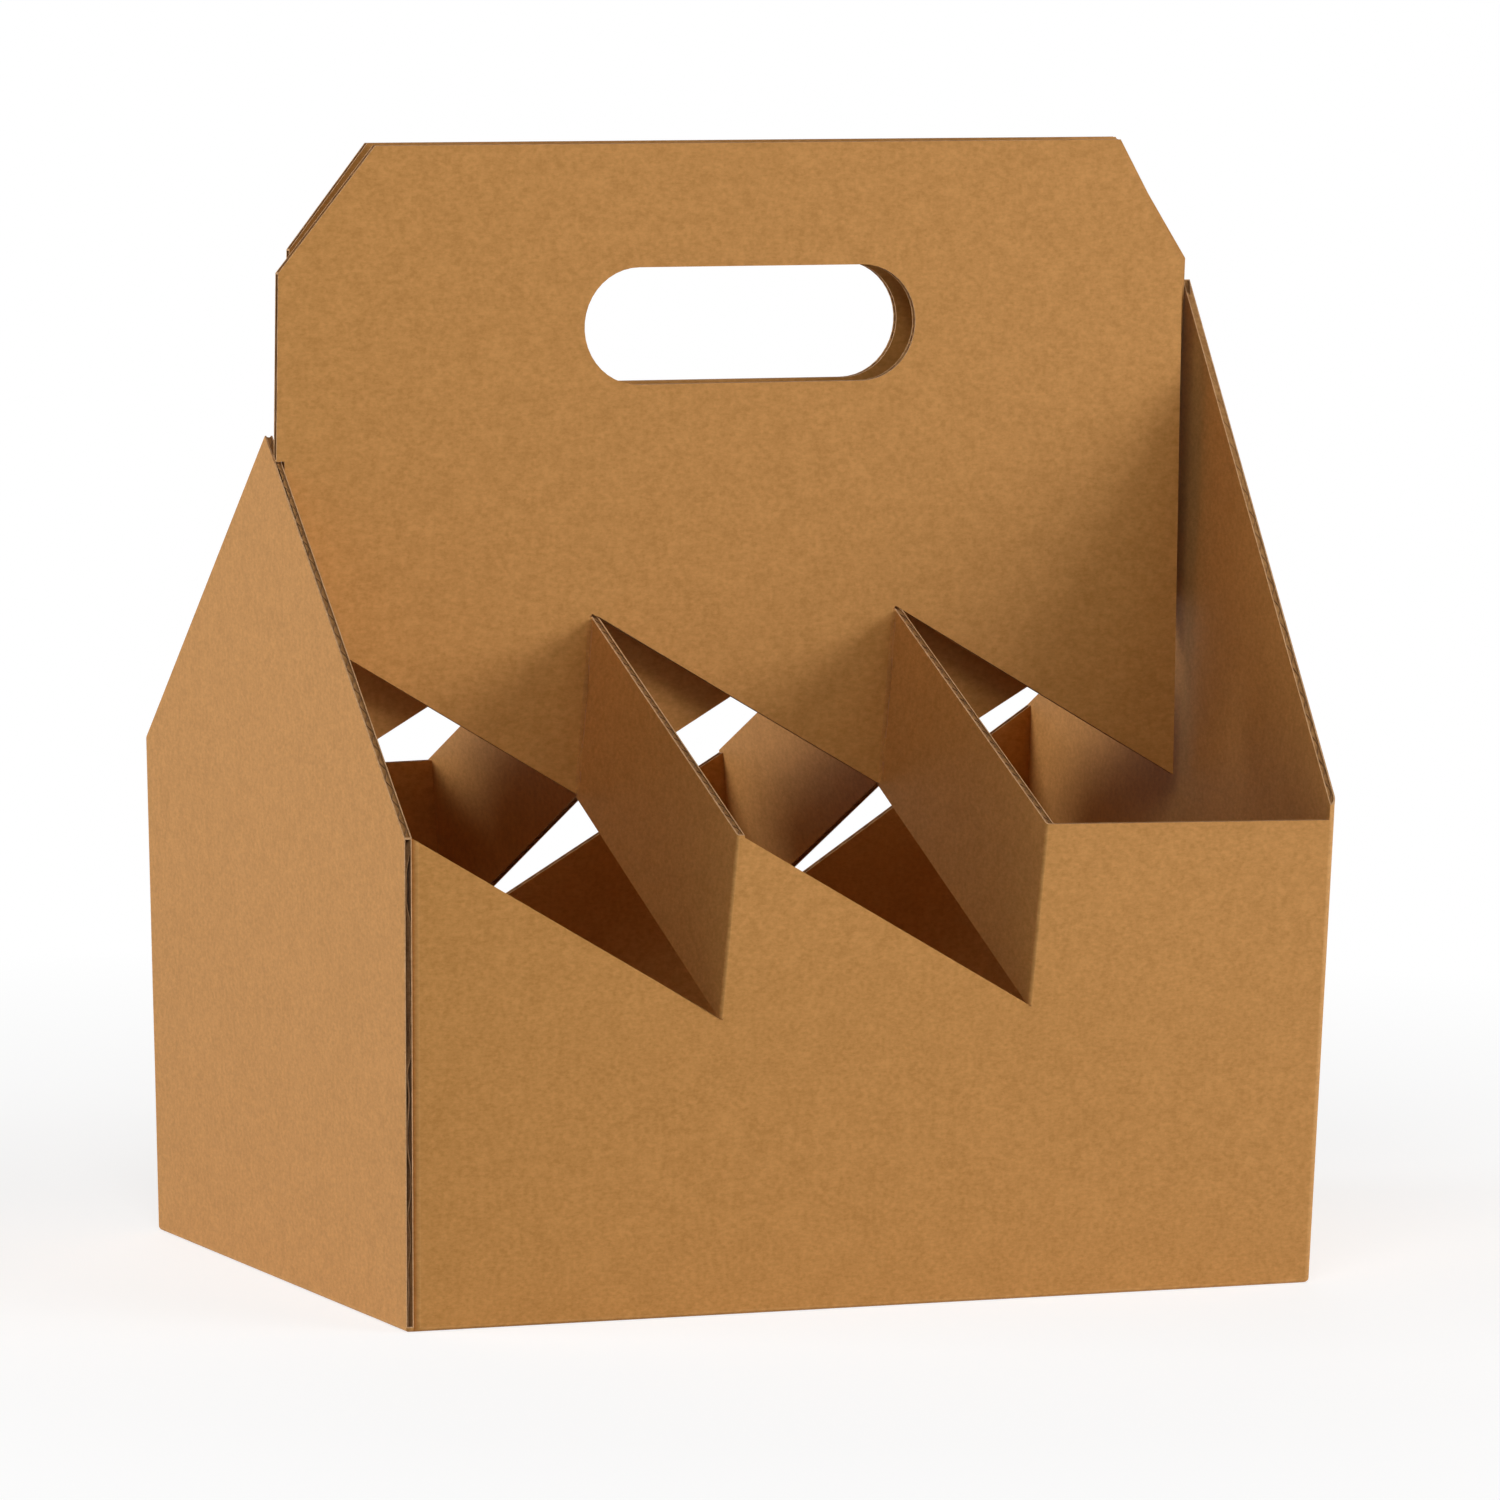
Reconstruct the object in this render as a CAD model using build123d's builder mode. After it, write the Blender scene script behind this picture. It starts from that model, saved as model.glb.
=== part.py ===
# Six-bottle carrier folded and glued from one die-cut sheet of corrugated board.
# Millimetres, +Z up, origin under the middle of the base, front wall facing -Y.
import os
from math import radians, tan

from build123d import *

os.makedirs("parts", exist_ok=True)

# Board
board = 1.6
corner_fold_radius = 1.5
base_fold_radius = 0.9
strap_fold_radius = 0.7

# Walls: the tube stands a little flared, as the straps push its walls apart
base_length = 195.6
base_width = 138.8
wall_lean = 1.5
wall_height = 95.0
rim_fall = 1.2

# Gables: the left one is a full triangle, the right one is what the sheet leaves beside the rear panel
front_shoulder_rise = 1.8
left_back_rise = 5.5
right_back_rise = 7.5
left_apex_height = 169.0
right_apex_drop = 29.5

# Handle panels: two back to back, the rear one hangs like the front one turned half round
handle_height = 226.5
handle_gap = 7.8
handle_top_half = 81.5
rear_top_half = 84.8
chamfer_share = 0.4348
rear_chamfer_run = 16.4
rear_chamfer_share = 0.3652
free_end_clearance = 0.4
front_end = 101.8
inner_end = 95.9
hand_hole_length = 72.5
hand_hole_height = 23.5
hand_hole_drop = 36.5

# Straps: slanting bands between each wall and its handle panel
right_strap = 29.5
strap_pitch = 66.6
back_strap_pitch = 65.6
strap_height = 36.4
strap_rise = 37.4
strap_skew = 5.4
strap_lean = 4.2

# Glue flap inside the front left corner, tapered at both ends
glue_flap_width = 32.0
glue_flap_taper = 6.0

# Base flaps: two long ones hooked at the middle, two end ones lying on them
base_gap = 0.4
hook_depth = 14.0
hook_run = 10.0
end_flap_length = 46.0
end_flap_ramp = 9.0
end_flap_setback = 1.0

flare = tan(radians(wall_lean))
front_shoulder = wall_height + front_shoulder_rise
front_face = base_width / 2 + front_shoulder * flare
handle_front = handle_gap / 2 + board
strap_foot = wall_height - strap_height
panel_foot = strap_foot + strap_rise
panel_shoulder = panel_foot + strap_height
slit_slope = strap_height / strap_pitch
front_straps = (right_strap - strap_pitch, right_strap)
back_straps = (right_strap - back_strap_pitch, right_strap)
gable_slope = (left_apex_height - front_shoulder) / front_face
reach = base_length


def half_length(level, inset):
    """Half the carrier's length at a level, measured to a face set in from the outside."""
    return base_length / 2 + level * flare - inset


def half_width(level, inset):
    """Half the carrier's width at a level, measured to a face set in from the outside."""
    return base_width / 2 + level * flare - inset


def strap_face(strap, y, z):
    """X of the left face of a front strap, for its x at the middle plane and rim level."""
    return strap - y * tan(radians(strap_skew)) + (z - wall_height) * tan(radians(strap_lean))


def strap_level(foot, depth):
    """Level of a strap's edge at a depth from the middle, for the level where it leaves the wall."""
    run = half_width(foot, 0) - handle_gap / 2
    return foot + (half_width(foot, 0) - depth) * strap_rise / run


def flared_block(left, others, rounded):
    """Block with the flared sides of the tube, set in from its faces, these corner folds rounded."""
    with BuildPart() as block:
        with BuildSketch():
            with Locations(((left - others) / 2, 0)):
                Rectangle(base_length - left - others, base_width - 2 * others)
        extrude(amount=handle_height, taper=-wall_lean)
        if rounded:
            sides = block.edges().filter_by(lambda edge: abs(edge.tangent_at(0.5).Z) > 0.5)
            folds = sides.filter_by(lambda edge: (edge.center().X > 0, edge.center().Y > 0) in rounded)
            fillet(folds, corner_fold_radius)
    return block.part


FRONT_LEFT = (False, False)
FRONT_RIGHT = (True, False)
BACK_LEFT = (False, True)
BACK_RIGHT = (True, True)

outer = flared_block(0, 0, (FRONT_RIGHT, BACK_LEFT, BACK_RIGHT))
wrapped = flared_block(board, 0, (FRONT_LEFT, FRONT_RIGHT, BACK_RIGHT))
hollow = flared_block(board, board, ())
flap_hollow = flared_block(2 * board, board, ())


def wall_trim(straps, left_rise):
    """Cut-away above the front wall: two slanting slits that end at the strap folds."""
    with BuildPart() as trim:
        with BuildSketch(Plane.XZ.offset(half_width(0, board) / 2)):
            with BuildLine():
                folds = []
                for strap in reversed(straps):
                    for level in (wall_height, strap_foot):
                        fold = strap_face(strap, -half_width(level, 0), level)
                        folds.append((fold + board / 2, level))
                left_rim = wall_height + left_rise
                right_rim = wall_height - rim_fall
                Polyline(
                    (-half_length(handle_height, board), handle_height),
                    (half_length(handle_height, board), handle_height),
                    (half_length(right_rim, board), right_rim),
                    *folds,
                    (-half_length(left_rim, board), left_rim),
                    close=True,
                )
            make_face()
        extrude(amount=reach)
    return trim.part


# Cut-away above the right gable: a long slope in front, the rear panel's cut line behind
with BuildPart() as right_trim:
    with BuildSketch(Plane.YZ.offset(half_length(0, board) / 2)):
        with BuildLine():
            back_shoulder = wall_height + right_back_rise
            back_face = half_width(back_shoulder, 0)
            cut_level = back_shoulder + (back_face - handle_front) * slit_slope
            Polyline(
                (-reach, 2 * handle_height),
                (-reach, front_shoulder),
                (-front_face, front_shoulder),
                (handle_front, handle_height - right_apex_drop),
                (handle_front, cut_level),
                (back_face, back_shoulder),
                (reach, back_shoulder),
                (reach, 2 * handle_height),
                close=True,
            )
        make_face()
    extrude(amount=reach)

# Left gable: a plain triangle whose raw edge stands beside the front wall's rounded fold
with BuildPart() as left_gable:
    with BuildSketch(Plane.YZ):
        with BuildLine():
            back_shoulder = wall_height + left_back_rise
            Polyline(
                (-reach, 0),
                (-reach, front_shoulder),
                (-front_face, front_shoulder),
                (0, left_apex_height),
                (half_width(back_shoulder, 0), back_shoulder),
                (reach, back_shoulder),
                (reach, 0),
                close=True,
            )
        make_face()
    extrude(amount=-reach)
    add(outer, mode=Mode.INTERSECT)
    add(wrapped, mode=Mode.SUBTRACT)

# Seam groove: the open corner between the left gable's raw edge and the front wall's rounded fold
with BuildPart() as seam_groove:
    add(flared_block(board, 0, ()))
    add(wrapped, mode=Mode.SUBTRACT)

# Glue flap: the front wall's end turned in behind the left gable
with BuildPart() as glue_flap:
    with BuildSketch(Plane.YZ.offset(-half_length(0, 2 * board))):
        with BuildLine():
            wall_face = half_width(wall_height, board)
            back_edge = glue_flap_width - wall_face
            Polyline(
                (-half_width(0, board), 0),
                (-wall_face, wall_height - board * slit_slope),
                (back_edge, wall_height - board * slit_slope - glue_flap_taper),
                (back_edge, glue_flap_taper),
                close=True,
            )
        make_face()
    extrude(amount=-reach)
    add(wrapped, mode=Mode.INTERSECT)
    add(flap_hollow, mode=Mode.SUBTRACT)


def handle_panel(straps, free_end, inner_corner):
    """Handle panel in front of the middle: chamfered top corners, hand hole, sawtooth edge at the straps."""
    with BuildPart() as panel:
        with BuildSketch(Plane.XZ.offset(handle_gap / 2)):
            with BuildLine():
                teeth = []
                for strap in straps:
                    for level in (panel_foot, panel_shoulder):
                        teeth.append((strap_face(strap, -handle_front, level), level))
                Polyline(
                    *free_end,
                    *teeth,
                    (inner_end, panel_foot),
                    *inner_corner,
                    close=True,
                )
            make_face()
            with Locations((0, handle_height - hand_hole_drop)):
                SlotOverall(hand_hole_length, hand_hole_height, mode=Mode.SUBTRACT)
        extrude(amount=board)
    return panel.part


# Handle panels: the front one's free end rests on the left gable, the rear one's stays inside the right one
handle_rise = handle_height - left_apex_height
chamfer_level = handle_height - chamfer_share * handle_rise
rear_chamfer_level = handle_height - rear_chamfer_share * handle_rise
ledge_level = left_apex_height - (handle_gap + board) / 2 * gable_slope
free_foot = (-half_length(panel_shoulder, board + free_end_clearance), panel_shoulder)
free_ledge = (-half_length(ledge_level, board + free_end_clearance), ledge_level)
free_head = (-half_length(chamfer_level, board + free_end_clearance), chamfer_level)
free_side = (free_ledge, free_foot)
front_handle = handle_panel(
    front_straps,
    ((-handle_top_half, handle_height), (-front_end, chamfer_level), (-front_end, ledge_level), *free_side),
    ((inner_end, chamfer_level), (handle_top_half, handle_height)),
)
rear_handle = handle_panel(
    back_straps,
    ((-rear_top_half, handle_height), free_head, free_foot),
    ((inner_end, rear_chamfer_level), (inner_end - rear_chamfer_run, handle_height)),
)


def strap_pair(straps):
    """Front straps: each runs from the wall's outer face to the handle panel's back face."""
    with BuildPart() as pair:
        for strap in straps:
            strap_plane = Plane(
                origin=(strap_face(strap, 0, wall_height), 0, wall_height),
                x_dir=(-tan(radians(strap_skew)), 1, 0),
                z_dir=(1, tan(radians(strap_skew)), -tan(radians(strap_lean))),
            )
            corners = []
            for foot, depth in (
                (strap_foot, front_face + board),
                (strap_foot, handle_gap / 2),
                (wall_height, handle_gap / 2),
                (wall_height, front_face + board),
            ):
                level = strap_level(foot, depth)
                corner = strap_plane.to_local_coords(Vector(strap_face(strap, -depth, level), -depth, level))
                corners.append((corner.X, corner.Y))
            with BuildSketch(strap_plane):
                with BuildLine():
                    Polyline(*corners, close=True)
                make_face()
            extrude(amount=board, dir=(1, 0, 0))
        add(wrapped, mode=Mode.INTERSECT)
        fold_edges = ShapeList()
        for strap in straps:
            for level, depth, face in (
                (wall_height - strap_height / 2, half_width(wall_height, 0), 0),
                (panel_shoulder - strap_height / 2, handle_gap / 2, board),
            ):
                fold = (strap_face(strap, -depth, level) + face, -depth, level)
                fold_edges += pair.edges().sort_by_distance(fold)[:1]
        fillet(fold_edges, strap_fold_radius)
    return pair.part


# Front base flap: reaches past the middle on the left and stops short of it on the right
with BuildPart() as front_base_flap:
    with BuildSketch():
        with BuildLine():
            flap_end = half_length(0, board + end_flap_ramp + base_gap)
            hem = half_width(0, board / 2)
            Polyline(
                (-flap_end, -hem),
                (flap_end, -hem),
                (flap_end, -hook_depth - base_gap / 2),
                (hook_run / 2, -hook_depth - base_gap / 2),
                (-hook_run / 2, hook_depth - base_gap / 2),
                (-flap_end, hook_depth - base_gap / 2),
                close=True,
            )
        make_face()
    extrude(amount=board)

# Right base flap: turns in at the foot of its gable, then steps up onto the long flaps
with BuildPart() as right_base_flap:
    with BuildSketch(Plane.XZ):
        with BuildLine():
            hinge = half_length(0, board / 2)
            inner_face = half_length(0, board)
            step = inner_face - end_flap_ramp
            tip = inner_face - end_flap_length
            rest = board + base_gap
            Polyline(
                (hinge, 0),
                (inner_face, 0),
                (step, rest),
                (tip, rest),
                (tip, rest + board),
                (step, rest + board),
                (inner_face, board),
                (hinge, board),
                close=True,
            )
        make_face()
    extrude(amount=half_width(0, board + end_flap_setback), both=True)

with BuildPart() as bottle_carrier:
    add(wrapped)
    add(hollow, mode=Mode.SUBTRACT)
    add(wall_trim(front_straps, front_shoulder_rise), mode=Mode.SUBTRACT)
    add(wall_trim(back_straps, right_back_rise), rotation=(0, 0, 180), mode=Mode.SUBTRACT)
    add(right_trim.part, mode=Mode.SUBTRACT)
    add(left_gable.part)
    add(glue_flap.part)
    add(front_handle)
    add(rear_handle, rotation=(0, 0, 180))
    add(strap_pair(front_straps))
    add(strap_pair(back_straps), rotation=(0, 0, 180))
    for half_turn in (0, 180):
        add(front_base_flap.part, rotation=(0, 0, half_turn))
        add(right_base_flap.part, rotation=(0, 0, half_turn))

    # Rounded folds round the foot of the walls
    foot = bottle_carrier.edges().filter_by_position(Axis.Z, 0, 0)
    inner_foot = foot.filter_by(lambda edge: abs(edge.center().X) < half_length(0, corner_fold_radius))
    inner_foot = inner_foot.filter_by(lambda edge: abs(edge.center().Y) < half_width(0, corner_fold_radius))
    fillet(foot - inner_foot, base_fold_radius)
    add(seam_groove.part, mode=Mode.SUBTRACT)

bottle_carrier.part.label = "bottle_carrier"
export_step(bottle_carrier.part, "parts/bottle_carrier.step")
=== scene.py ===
# Six-bottle carrier of brown corrugated board, open and empty, on a plain white studio floor.
# Metres, +Z up, origin under the middle of the base, front wall facing -Y.
import math

import bmesh
import bpy
from mathutils import Matrix, Vector
from mathutils.bvhtree import BVHTree


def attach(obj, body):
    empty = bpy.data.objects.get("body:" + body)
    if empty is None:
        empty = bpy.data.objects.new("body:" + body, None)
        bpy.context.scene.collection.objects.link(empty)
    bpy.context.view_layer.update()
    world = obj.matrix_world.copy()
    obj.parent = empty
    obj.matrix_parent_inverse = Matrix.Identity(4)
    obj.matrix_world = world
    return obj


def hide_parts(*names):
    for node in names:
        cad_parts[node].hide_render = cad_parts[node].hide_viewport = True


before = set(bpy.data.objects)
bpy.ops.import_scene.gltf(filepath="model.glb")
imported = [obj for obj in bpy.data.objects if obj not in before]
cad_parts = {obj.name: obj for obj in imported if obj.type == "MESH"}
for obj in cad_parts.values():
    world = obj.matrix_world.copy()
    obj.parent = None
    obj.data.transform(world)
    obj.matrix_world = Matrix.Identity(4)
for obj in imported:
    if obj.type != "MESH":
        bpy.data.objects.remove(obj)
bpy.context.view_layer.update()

scene = bpy.context.scene

# Board: one die-cut sheet of brown kraft board with fine flutes, creased, folded up and glued at one flap.
# It has the CAD solid's form. Where the die cut it, the two liners stand out as thin lips. A cut along the
# flutes is open and dark between them, partly by painted shade, one across is crushed nearly shut, and a
# folded liner is paler.
board_thickness = 0.0016
liner_thickness = 0.00024
lip_width = 1.4 * liner_thickness
open_depth = 0.0022
crushed_depth = 0.0003
narrowest_cut = 0.75 * board_thickness
widest_cut = 1.1 * board_thickness
widest_fold = 0.6 * board_thickness
smallest_cut_area = 25e-6
hand_hole_half = 0.037
hand_hole_foot = 0.177
hand_hole_head = 0.203
handle_half_depth = 0.006
# Largest share of a face's normal along a direction that the face counts as square to.
square_share = 0.1


def mean_width(face):
    """Width of a long narrow face."""
    return 2 * face.calc_area() / face.calc_perimeter()


def in_hand_hole(face):
    """True for the facets that line the hand holes of the two handle panels."""
    middle = face.calc_center_median()
    in_hole = abs(middle.x) < hand_hole_half and hand_hole_foot < middle.z < hand_hole_head
    return in_hole and abs(middle.y) < handle_half_depth and abs(face.normal.y) < square_share


def is_cut(face):
    """True for a raw edge: a strip as wide as the board is thick, or the lining of a hand hole."""
    strip = narrowest_cut < mean_width(face) < widest_cut
    return in_hand_hole(face) or (strip and face.calc_area() > smallest_cut_area)


def cut_along_flutes(face):
    """True for an upright raw edge, because the flutes stand upright in the walls, gables and handles."""
    return abs(face.normal.z) < square_share and not in_hand_hole(face)


# The CAD mesh is loose triangles: its corners are merged, and those of a flat panel become one face.
corner_merge = 2e-6
flat_angle = math.radians(0.4)
sheet = bmesh.new()
sheet.from_mesh(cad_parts["bottle_carrier"].data)
bmesh.ops.remove_doubles(sheet, verts=sheet.verts, dist=corner_merge)
bmesh.ops.dissolve_limit(sheet, angle_limit=flat_angle, verts=sheet.verts, edges=sheet.edges)
sheet.normal_update()

# Creases: where a handle panel turns into a strap, the liner inside the fold is pinched to a wavy groove.
# Its depth and its sideways sway follow a long and a short wave up the fold, out of step from fold to fold.
crease_width = 0.0007
crease_depth = 0.001
crease_sway = 0.0004
crease_steps = 14
crease_end = 0.02
groove_reach = 0.4 * crease_width
least_pinch = 0.75
pinch_swing = 0.25
long_wave_share, long_wave_angle = 0.6, 9
short_wave_share, short_wave_angle = 0.4, 23
phase_per_metre = 100
shortest_fold = 0.02
least_fold_angle = 1.0
panel_face = 0.0055
panel_play = 0.0004
pinched = []
for edge in sheet.edges:
    middle = (edge.verts[0].co + edge.verts[1].co) / 2
    upright = abs(edge.verts[0].co.z - edge.verts[1].co.z) > shortest_fold
    inner_corner = not edge.is_convex and edge.calc_face_angle() > least_fold_angle
    if upright and inner_corner and abs(abs(middle.y) - panel_face) < panel_play:
        pinched.append(edge)
for edge in pinched:
    into = -(edge.link_faces[0].normal + edge.link_faces[1].normal).normalized()
    foot, head = sorted((vert.co.copy() for vert in edge.verts), key=lambda corner: corner.z)
    steps = bmesh.ops.subdivide_edges(sheet, edges=[edge], cuts=crease_steps)
    along_fold = [part for part in steps["geom"] if isinstance(part, bmesh.types.BMEdge)]
    bmesh.ops.bevel(
        sheet, geom=along_fold, offset=crease_width, offset_type="OFFSET", affect="EDGES", segments=2,
        profile=0.5, material=-1, clamp_overlap=False,
    )
    phase = phase_per_metre * foot.x
    for vert in sheet.verts:
        climb = (vert.co.z - foot.z) / (head.z - foot.z)
        stray = (vert.co - foot.lerp(head, climb)).length
        if crease_end < climb < 1 - crease_end and stray < groove_reach:
            long_wave = long_wave_share * math.sin(long_wave_angle * climb + phase)
            wave = long_wave + short_wave_share * math.sin(short_wave_angle * climb)
            sideways = Vector((crease_sway * wave, 0, 0))
            vert.co += into * crease_depth * (least_pinch + pinch_swing * wave) + sideways
sheet.normal_update()

# Raw edges: the line of each is kept for its strip of flutes, and edges that run on round a corner are
# hollowed together, so that the lips are whole there.
cuts = [face for face in sheet.faces if is_cut(face)]
folds = [face for face in sheet.faces if mean_width(face) < widest_fold and not is_cut(face)]
cut_lines = []
for face in cuts:
    longest = max(face.edges, key=lambda edge: edge.calc_length())
    along = (longest.verts[1].co - longest.verts[0].co).normalized()
    if in_hand_hole(face):
        along = face.normal.cross(Vector((0, 1, 0)))
    across = face.normal.cross(along)
    reach = [vert.co.dot(along) for vert in face.verts]
    breadth = [vert.co.dot(across) for vert in face.verts]
    level = face.calc_center_median().dot(face.normal)
    start = along * min(reach) + across * (min(breadth) + max(breadth)) / 2 + face.normal * level
    depth = open_depth if cut_along_flutes(face) else crushed_depth
    cut_lines.append((start, along, max(reach) - min(reach), across, face.normal.copy(), depth))

sharpest_turn = -0.3


def runs_on(face, other):
    """True where a raw edge goes on round a corner of its panel, and not where two panels meet in a notch."""
    alike = other in cuts and cut_along_flutes(face) == cut_along_flutes(other)
    return alike and face.normal.dot(other.normal) > sharpest_turn


# Material slots after the first, which is the plain liner.
FOLD, LIP, CRUSHED, HOLLOW = range(1, 5)
for face in folds:
    face.material_index = FOLD
edge_runs = []
for face in cuts:
    if any(face in run for run in edge_runs):
        continue
    run = [face]
    for member in run:
        for edge in member.edges:
            run += [other for other in edge.link_faces if other not in run and runs_on(member, other)]
    edge_runs.append(run)
uncut = BVHTree.FromBMesh(sheet)
least_cover = liner_thickness / 2
as_near = 1e-6


def depth_below_skin(point):
    """Depth of a point below the nearest face of the uncut board, or the least where several are as near."""
    nearest = uncut.find_nearest(point)[3]
    skins = uncut.find_nearest_range(point, nearest + as_near)
    return min((skin - point).dot(outward) for skin, outward, _, _ in skins)


for run in edge_runs:
    lips = bmesh.ops.inset_region(
        sheet, faces=run, thickness=lip_width, depth=0, use_boundary=True, use_even_offset=False
    )
    for face in lips["faces"]:
        face.material_index = LIP
    is_open = cut_along_flutes(run[0])
    rims = [[vert.co.copy() for vert in face.verts] for face in run]
    hollow_depth = open_depth if is_open else crushed_depth
    sides = bmesh.ops.inset_region(
        sheet, faces=run, thickness=0, depth=-hollow_depth, use_boundary=True, use_even_offset=False
    )
    # The hollow of an open edge gets the material whose dark brown is painted shade.
    for face in run + sides["faces"]:
        face.material_index = HOLLOW if is_open else CRUSHED
    # A corner that would come out through a liner, as beside a fold, stays level with the lips.
    for face, corners in zip(run, rims):
        for vert, corner in zip(face.verts, corners):
            if depth_below_skin(vert.co) < least_cover:
                vert.co = corner
level_merge = 1e-7
bmesh.ops.remove_doubles(sheet, verts=sheet.verts, dist=level_merge)


def linear(hex_colour):
    """Linear RGBA of an sRGB hex colour."""
    channels = [int(hex_colour[i:i + 2], 16) / 255 for i in (1, 3, 5)]
    return [c / 12.92 if c <= 0.04045 else ((c + 0.055) / 1.055) ** 2.4 for c in channels] + [1.0]


def add_node(tree, kind, settings, links):
    """Adds a node with its settings and input values, and links other nodes' outputs to its inputs."""
    node = tree.nodes.new(kind)
    for name, value in settings.items():
        if name in node.inputs:
            node.inputs[name].default_value = value
        else:
            setattr(node, name, value)
    for name, output in links.items():
        tree.links.new(output, node.inputs[name])
    return node


def add_piece(name, shape, materials):
    """Makes a mesh piece of the carrier that rides on its one body."""
    mesh = bpy.data.meshes.new(name)
    shape.to_mesh(mesh)
    shape.free()
    for material in materials:
        mesh.materials.append(material)
    piece = bpy.data.objects.new(name, mesh)
    scene.collection.objects.link(piece)
    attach(piece, "root")
    return piece


def kraft_paper(name, dark, pale, roughness, specular):
    """Unbleached kraft paper: soft blotches of pulp a few millimetres wide, under a finer fibre grain.

    Real fibres are thinner than a pixel of the render, so their grain is as coarse as it needs to be to show.
    """
    paper = bpy.data.materials.new(name)
    paper.use_nodes = True
    tree = paper.node_tree
    place = add_node(tree, "ShaderNodeTexCoord", {}, {})
    blotch_size, clump_size, fibre_size = 0.0048, 0.0012, 0.00055
    blotches = add_node(
        tree, "ShaderNodeTexNoise", {"Scale": 1 / blotch_size, "Detail": 3.0, "Roughness": 0.55},
        {"Vector": place.outputs["Object"]},
    )
    clumps = add_node(
        tree, "ShaderNodeTexNoise", {"Scale": 1 / clump_size, "Detail": 2.0, "Roughness": 0.6},
        {"Vector": place.outputs["Object"]},
    )
    # Fibres lie mostly along the machine direction, so their grain is drawn out across the flutes.
    drawn_out = add_node(
        tree, "ShaderNodeMapping", {"Scale": (0.45, 0.45, 1.0)}, {"Vector": place.outputs["Object"]}
    )
    fibres = add_node(
        tree, "ShaderNodeTexNoise", {"Scale": 1 / fibre_size, "Detail": 3.0, "Roughness": 0.7},
        {"Vector": drawn_out.outputs["Vector"]},
    )
    mottle = add_node(
        tree, "ShaderNodeMix", {"data_type": "FLOAT", "Factor": 0.6},
        {"A": blotches.outputs["Fac"], "B": clumps.outputs["Fac"]},
    )
    grain = add_node(
        tree, "ShaderNodeMix", {"data_type": "FLOAT", "Factor": 0.45},
        {"A": mottle.outputs["Result"], "B": fibres.outputs["Fac"]},
    )
    spread = add_node(
        tree, "ShaderNodeMapRange", {"From Min": 0.38, "From Max": 0.62}, {"Value": grain.outputs["Result"]}
    )
    tone = add_node(
        tree, "ShaderNodeMix", {"data_type": "RGBA", "A": linear(dark), "B": linear(pale)},
        {"Factor": spread.outputs["Result"]},
    )
    relief = add_node(
        tree, "ShaderNodeBump", {"Strength": 0.25, "Distance": 0.00008}, {"Height": grain.outputs["Result"]}
    )
    shader = tree.nodes["Principled BSDF"]
    shader.inputs["Roughness"].default_value = roughness
    shader.inputs["IOR"].default_value = 1.5
    shader.inputs["Specular IOR Level"].default_value = specular
    shader.inputs["Sheen Weight"].default_value = 0.06
    tree.links.new(tone.outputs["Result"], shader.inputs["Base Color"])
    tree.links.new(relief.outputs["Normal"], shader.inputs["Normal"])
    return paper


# Liner: pressed smooth in the paper mill, so it is warm brown with a faint soft gloss at a low angle.
kraft_liner = kraft_paper("kraft_liner", "#b37d3a", "#c98f4b", 0.62, 0.3)
# Folded liner: stretched over a crease, which lifts its fibres and makes it a little paler.
kraft_fold = kraft_paper("kraft_fold", "#ba8544", "#cf9754", 0.62, 0.3)
# Cut liner: the die leaves torn fibre ends, pale and quite matt.
kraft_cut = kraft_paper("kraft_cut", "#b88a5c", "#d3a97c", 0.85, 0.3)
# Crushed core: liner and fluting pressed together by the die, matt and darker than the lips beside it.
kraft_crushed = kraft_paper("kraft_crushed", "#96683a", "#b28450", 0.85, 0.2)
# Inside of an open edge: the liners' unpressed backs, rough, with a dark brown that is painted shade for the
# deep narrow hollow.
hollow_painted_shade = kraft_paper("hollow_painted_shade", "#7d5733", "#8f683f", 0.9, 0.2)
finishes = [kraft_liner, kraft_fold, kraft_cut, kraft_crushed, hollow_painted_shade]
carrier_board = add_piece("carrier_board", sheet, finishes)
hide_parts("bottle_carrier")

# Flutes: the wavy medium paper glued between the two liners. It runs upright in the walls, gables and
# handles, and square to the fold in the base flaps, so an upright cut runs along a flute and the others cut
# across. A strip of it is modelled behind each raw edge, as deep as the edge is hollow.
flute_pitch = 0.0033
medium_thickness = 0.00016
medium_setback = 0.00008
medium_play = 0.00002
wave_height = board_thickness / 2 - liner_thickness - medium_thickness / 2 - medium_play
base_level = 0.005
end_flap_reach = 0.049
lined_up = 0.9
step_along_flute = 0.0015
step_across_flutes = flute_pitch / 8
depth_steps = 4
end_slope = 1.6
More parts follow.
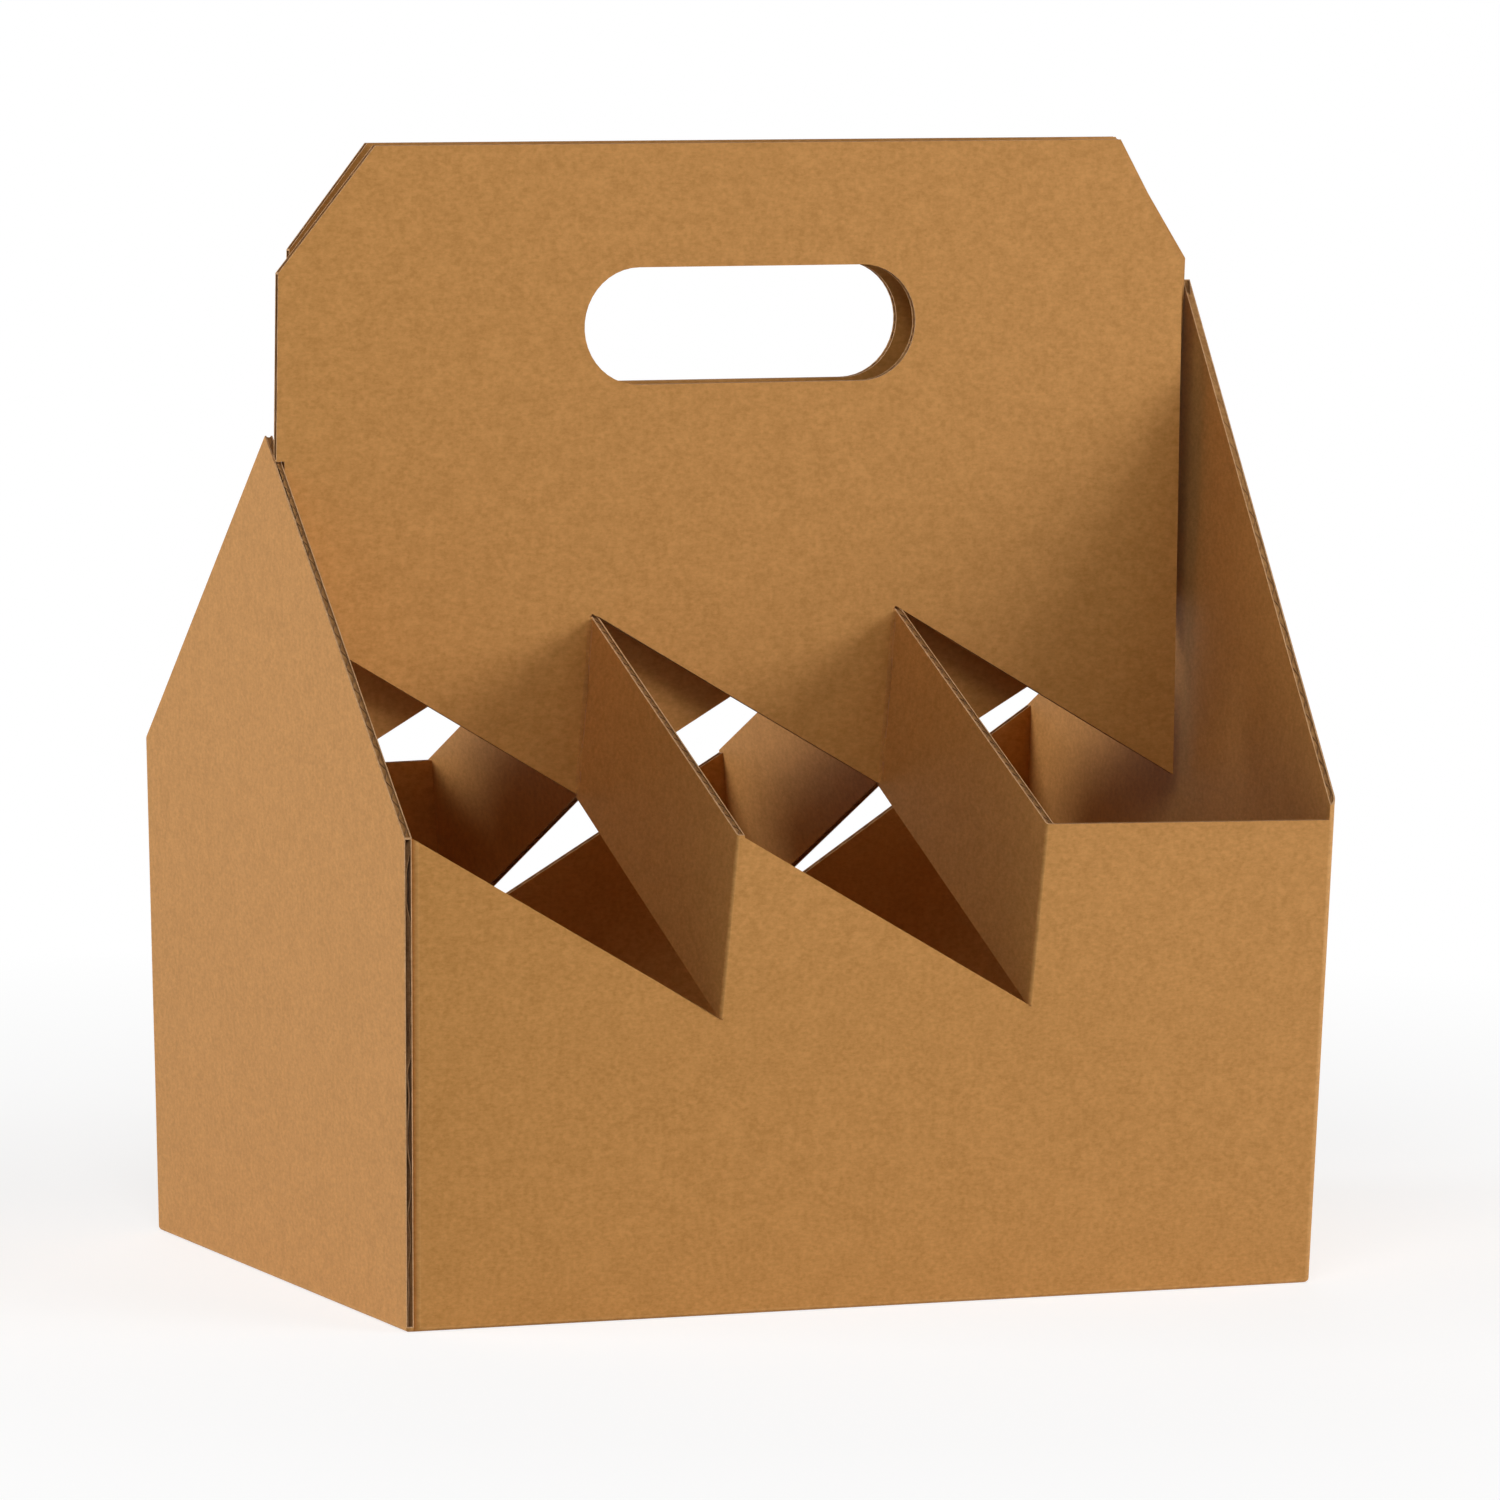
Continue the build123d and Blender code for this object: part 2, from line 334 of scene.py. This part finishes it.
# A die never follows one flute, so a cut along them wanders: share of the pitch, length of the bend, phase.
wanderings = ((0.30, 0.0085, 0.0), (0.22, 0.0031, 1.0))
flutes = bmesh.new()
for start, along, length, across, outward, deepest in cut_lines:
    middle = start + along * length / 2
    in_base = abs(across.z) > lined_up and middle.z < base_level
    if not in_base:
        flute = Vector((0, 0, 1))
    elif middle.z > board_thickness and abs(middle.x) > end_flap_reach:
        flute = Vector((1, 0, 0))
    else:
        flute = Vector((0, 1, 0))
    flute = (flute - flute.dot(across) * across).normalized()
    row = flute.cross(across)
    lengthwise = abs(along.dot(flute)) > lined_up
    columns = max(2, round(length / (step_along_flute if lengthwise else step_across_flutes)))
    strip = bmesh.ops.create_grid(flutes, x_segments=columns, y_segments=depth_steps, size=0.5)
    for vert in strip["verts"]:
        way = (vert.co.x + 0.5) * (length - 2 * liner_thickness) + liner_thickness
        depth = min(deepest, end_slope * min(way, length - way)) * (vert.co.y + 0.5) + medium_setback
        place = start + along * way - outward * depth
        travel = place.dot(row)
        if lengthwise:
            climb = place.dot(flute)
            drift = sum(share * math.sin(climb / bend + phase) for share, bend, phase in wanderings)
            travel += flute_pitch * drift
        vert.co = place + across * wave_height * math.sin(2 * math.pi * travel / flute_pitch)
bmesh.ops.recalc_face_normals(flutes, faces=flutes.faces)
strips = flutes.faces[:] + flutes.edges[:] + flutes.verts[:]
bmesh.ops.solidify(flutes, geom=strips, thickness=medium_thickness)
bmesh.ops.recalc_face_normals(flutes, faces=flutes.faces)
# Fluting: a thin rough paper of short fibres, dull and darker than the liners.
fluting_medium = kraft_paper("fluting_medium", "#7b5735", "#96704a", 0.9, 0.2)
board_flutes = add_piece("board_flutes", flutes, [fluting_medium])

# Studio floor: a seamless sheet of matt white paper, a hair below the base so that the two share no plane.
# To the camera and to reflections it is plain white, with the carrier's faint shadow near the carrier.
floor_half = 8
floor_drop = 0.0001
shadow_fades_from = 0.22
shadow_ends_at = 0.5
floor_shape = bmesh.new()
bmesh.ops.create_grid(floor_shape, x_segments=1, y_segments=1, size=floor_half)
bmesh.ops.translate(floor_shape, verts=floor_shape.verts, vec=(0, 0, -floor_drop))
floor_mesh = bpy.data.meshes.new("floor")
floor_shape.to_mesh(floor_mesh)
floor_shape.free()
floor = bpy.data.objects.new("floor", floor_mesh)
scene.collection.objects.link(floor)
white_paper = bpy.data.materials.new("white_paper")
white_paper.use_nodes = True
floor_tree = white_paper.node_tree
floor_shader = floor_tree.nodes["Principled BSDF"]
floor_shader.inputs["Base Color"].default_value = linear("#f0f0f0")
floor_shader.inputs["Roughness"].default_value = 0.9
floor_shader.inputs["Specular IOR Level"].default_value = 0.1
floor_place = add_node(floor_tree, "ShaderNodeTexCoord", {}, {})
distance = add_node(
    floor_tree, "ShaderNodeVectorMath", {"operation": "LENGTH"}, {"Vector": floor_place.outputs["Object"]}
)
shadow_fade = add_node(
    floor_tree, "ShaderNodeMapRange", {"From Min": shadow_fades_from, "From Max": shadow_ends_at},
    {"Value": distance.outputs["Value"]},
)
glow = add_node(floor_tree, "ShaderNodeEmission", {"Color": linear("#ffffff"), "Strength": 0.72}, {})
shaded = add_node(floor_tree, "ShaderNodeBsdfDiffuse", {"Color": linear("#b3b3b3")}, {})
near = add_node(
    floor_tree, "ShaderNodeAddShader", {}, {0: glow.outputs["Emission"], 1: shaded.outputs["BSDF"]}
)
plain = add_node(floor_tree, "ShaderNodeEmission", {"Color": linear("#ffffff"), "Strength": 1.0}, {})
seen = add_node(
    floor_tree, "ShaderNodeMixShader", {},
    {"Fac": shadow_fade.outputs["Result"], 1: near.outputs["Shader"], 2: plain.outputs["Emission"]},
)
ray = add_node(floor_tree, "ShaderNodeLightPath", {}, {})
mirrored = add_node(
    floor_tree, "ShaderNodeMath", {"operation": "MAXIMUM"},
    {0: ray.outputs["Is Glossy Ray"], 1: ray.outputs["Is Transmission Ray"]},
)
looked_at = add_node(
    floor_tree, "ShaderNodeMath", {"operation": "MAXIMUM"},
    {0: ray.outputs["Is Camera Ray"], 1: mirrored.outputs["Value"]},
)
floor_mix = add_node(
    floor_tree, "ShaderNodeMixShader", {},
    {"Fac": looked_at.outputs["Value"], 1: floor_shader.outputs["BSDF"], 2: seen.outputs["Shader"]},
)
floor_tree.links.new(floor_mix.outputs["Shader"], floor_tree.nodes["Material Output"].inputs["Surface"])
floor_mesh.materials.append(white_paper)

# Studio light: two high soft boxes in front, long low ones at the right, the left and behind, and a dim room.
# To the camera and to reflections the room is plain white.
world = bpy.data.worlds.new("studio")
scene.world = world
world.use_nodes = True
room = world.node_tree
backdrop = room.nodes["Background"]
room_light = 0.01
sight = add_node(room, "ShaderNodeLightPath", {}, {})
sharp = add_node(
    room, "ShaderNodeMath", {"operation": "MAXIMUM"},
    {0: sight.outputs["Is Camera Ray"], 1: sight.outputs["Is Glossy Ray"]},
)
shown = add_node(
    room, "ShaderNodeMath", {"operation": "MAXIMUM"},
    {0: sharp.outputs["Value"], 1: sight.outputs["Is Transmission Ray"]},
)
strength = add_node(
    room, "ShaderNodeMapRange", {"To Min": room_light, "To Max": 1.0}, {"Value": shown.outputs["Value"]}
)
backdrop.inputs["Color"].default_value = linear("#ffffff")
room.links.new(strength.outputs["Result"], backdrop.inputs["Strength"])
aim = Vector((0, 0, 0.1))
lamp_distance = 2.2
for name, azimuth, elevation, width, height, power in (
    ("high_left_box", -30, 42, 1.0, 1.0, 14.0),
    ("high_right_box", 35, 42, 1.0, 1.0, 6.0),
    ("low_right_box", 57, 5, 1.6, 0.5, 30.0),
    ("left_box", -105, 7, 0.9, 0.5, 26.0),
    ("back_box", 160, 8, 1.2, 0.5, 17.0),
):
    turn, rise = math.radians(azimuth), math.radians(elevation)
    towards = Vector((math.sin(turn) * math.cos(rise), -math.cos(turn) * math.cos(rise), math.sin(rise)))
    lamp = bpy.data.lights.new(name, "AREA")
    lamp.shape = "RECTANGLE"
    lamp.size = width
    lamp.size_y = height
    lamp.energy = power
    box = bpy.data.objects.new(name, lamp)
    box.location = aim + towards * lamp_distance
    box.rotation_euler = (-towards).to_track_quat("-Z", "Y").to_euler()
    scene.collection.objects.link(box)

# Camera: the photograph's viewpoint, far off with a long lens, a little above the rim and turned a touch.
view_turn, view_rise, view_roll = math.radians(-23.56), math.radians(6.18), math.radians(0.80)
flat_back = math.cos(view_rise)
back = Vector((math.sin(view_turn) * flat_back, -math.cos(view_turn) * flat_back, math.sin(view_rise)))
right = (-back).cross(Vector((0, 0, 1))).normalized()
up = right.cross(-back)
turned_right = math.cos(view_roll) * right + math.sin(view_roll) * up
turned_up = -math.sin(view_roll) * right + math.cos(view_roll) * up
lens = bpy.data.cameras.new("camera")
lens.sensor_width = 36
lens.lens = 258.8
lens.clip_end = 50
camera = bpy.data.objects.new("camera", lens)
camera.matrix_world = Matrix((turned_right, turned_up, back)).transposed().to_4x4()
camera.location = (-0.8638, -1.9888, 0.3382)
scene.collection.objects.link(camera)
scene.camera = camera
scene.view_settings.view_transform = "Standard"
